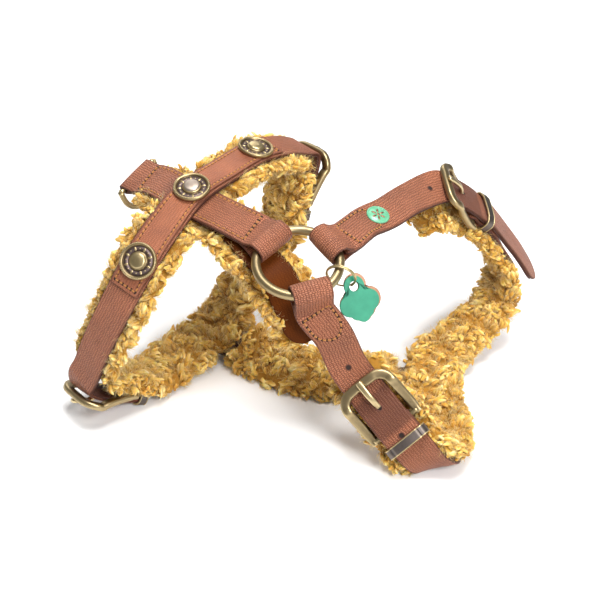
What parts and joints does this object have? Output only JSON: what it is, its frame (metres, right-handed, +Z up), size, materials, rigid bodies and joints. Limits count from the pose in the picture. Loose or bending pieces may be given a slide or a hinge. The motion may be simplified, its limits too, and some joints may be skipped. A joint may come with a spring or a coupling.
{
  "type": "dog harness",
  "caption": "Small leather dog harness with fleece lining, a neck loop and a girth loop joined at an O ring, with brass buckles, studs, a D ring and an enamel tag.",
  "frame": {"origin": "middle of the footprint, on the surface the harness stands on", "axes": "+Z up; +X towards the neck opening; -Y towards the side that shows the O ring, the tag and the studs"},
  "size_m": [0.2638, 0.174, 0.1245],
  "materials": {
    "embossed_leather": "embossed, semi-gloss",
    "smooth_leather": "smooth, semi-gloss",
    "flesh_leather": "matt flesh side",
    "fleece": "curly pile",
    "antique_brass": "aged",
    "polished_brass": "polished",
    "dark_brass": "dark, aged",
    "copper_plate": "satin",
    "enamel": "glossy enamel",
    "badge_enamel": "glossy enamel"
  },
  "bodies": {
    "harness": {"girth_strap": "embossed_leather", "girth_overlay": "smooth_leather", "back_strap": "embossed_leather", "ring_backing": "flesh_leather", "neck_strap_left": "embossed_leather", "neck_strap_right": "embossed_leather", "lower_neck_strap": "embossed_leather", "lower_girth_strap": "embossed_leather", "sternum_strap": "embossed_leather", "girth_lining_rear": "fleece", "girth_lining_front": "fleece", "back_lining": "fleece", "lower_neck_lining": "fleece", "lower_girth_lining": "fleece", "sternum_lining": "fleece", "concho_plate_rear": "antique_brass", "concho_plate_centre": "antique_brass", "concho_plate_front": "antique_brass", "concho_stud_rear": "polished_brass", "concho_stud_centre": "polished_brass", "concho_stud_front": "polished_brass", "badge": "badge_enamel"},
    "buckle_chest": {"buckle_chest": "antique_brass"},
    "prong_chest": {"prong_chest": "polished_brass"},
    "keeper_chest": {"keeper_chest": "dark_brass"},
    "buckle_neck": {"buckle_neck": "antique_brass"},
    "prong_neck": {"prong_neck": "polished_brass"},
    "keeper_neck": {"keeper_neck": "dark_brass"},
    "buckle_girth_low": {"buckle_girth_low": "antique_brass"},
    "prong_girth_low": {"prong_girth_low": "polished_brass"},
    "keeper_girth_low": {"keeper_girth_low": "dark_brass"},
    "buckle_girth_high": {"buckle_girth_high": "antique_brass"},
    "prong_girth_high": {"prong_girth_high": "polished_brass"},
    "keeper_girth_high": {"keeper_girth_high": "dark_brass"},
    "o_ring": {"o_ring": "antique_brass"},
    "d_ring": {"d_ring": "antique_brass"},
    "split_ring": {"split_ring": "polished_brass"},
    "tag": {"tag_plate": "copper_plate", "tag_enamel": "enamel"}
  },
  "joints": [
    {"name": "buckle_chest_lift", "type": "hinge", "parent": "harness", "child": "buckle_chest", "pos_m": [0.04151, -0.07337, 0.02508], "axis": [0.7653, 0.2283, 0.6018], "range_deg": [0, 6]},
    {"name": "prong_chest_swing", "type": "hinge", "parent": "buckle_chest", "child": "prong_chest", "pos_m": [0.04151, -0.07337, 0.02508], "axis": [0.7653, 0.2283, 0.6018], "range_deg": [0, 10]},
    {"name": "keeper_chest_slide", "type": "slide", "parent": "harness", "child": "keeper_chest", "axis": [-0.6184, 0.5203, 0.589], "range_m": [-0.001, 0.001]},
    {"name": "buckle_neck_lift", "type": "hinge", "parent": "harness", "child": "buckle_neck", "pos_m": [0.08701, 0.05063, 0.08138], "axis": [-0.1351, 0.9228, 0.3608], "range_deg": [0, 6]},
    {"name": "prong_neck_swing", "type": "hinge", "parent": "buckle_neck", "child": "prong_neck", "pos_m": [0.08701, 0.05063, 0.08138], "axis": [-0.1351, 0.9228, 0.3608], "range_deg": [0, 10]},
    {"name": "keeper_neck_slide", "type": "slide", "parent": "harness", "child": "keeper_neck", "axis": [-0.7222, -0.341, 0.6018], "range_m": [-0.001, 0.001]},
    {"name": "buckle_girth_low_lift", "type": "hinge", "parent": "harness", "child": "buckle_girth_low", "pos_m": [-0.10249, -0.01987, 0.01138], "axis": [0.649, -0.7608, 0.0025], "range_deg": [0, 6]},
    {"name": "prong_girth_low_swing", "type": "hinge", "parent": "buckle_girth_low", "child": "prong_girth_low", "pos_m": [-0.10249, -0.01987, 0.01138], "axis": [0.649, -0.7608, 0.0025], "range_deg": [0, 10]},
    {"name": "keeper_girth_low_slide", "type": "slide", "parent": "harness", "child": "keeper_girth_low", "axis": [-0.6702, -0.5702, 0.4751], "range_m": [-0.0005, 0.001]},
    {"name": "buckle_girth_high_lift", "type": "hinge", "parent": "harness", "child": "buckle_girth_high", "pos_m": [-0.00949, 0.06613, 0.08188], "axis": [-0.6633, 0.7483, 0.0057], "range_deg": [0, 6]},
    {"name": "prong_girth_high_swing", "type": "hinge", "parent": "buckle_girth_high", "child": "prong_girth_high", "pos_m": [-0.00949, 0.06613, 0.08188], "axis": [-0.6633, 0.7483, 0.0057], "range_deg": [0, 10]},
    {"name": "keeper_girth_high_slide", "type": "slide", "parent": "harness", "child": "keeper_girth_high", "axis": [0.201, 0.1708, 0.9646], "range_m": [-0.001, 0.001]},
    {"name": "o_ring_turn", "type": "hinge", "parent": "harness", "child": "o_ring", "pos_m": [-0.00699, -0.03237, 0.09488], "axis": [0, -0.361, 0.9326], "continuous": true},
    {"name": "d_ring_swing", "type": "hinge", "parent": "harness", "child": "d_ring", "pos_m": [-0.09299, 0.03613, 0.10788], "axis": [0.602, 0.7039, 0.377], "range_deg": [-15, 110]},
    {"name": "split_ring_swing", "type": "hinge", "parent": "harness", "child": "split_ring", "pos_m": [0.0131, -0.03739, 0.09294], "axis": [0.2588, 0.9008, 0.3487], "range_deg": [-15, 15]},
    {"name": "tag_swing", "type": "hinge", "parent": "split_ring", "child": "tag", "pos_m": [0.02016, -0.03632, 0.08493], "axis": [0.5485, -0.4342, 0.7146], "range_deg": [-15, 15]}
  ]
}
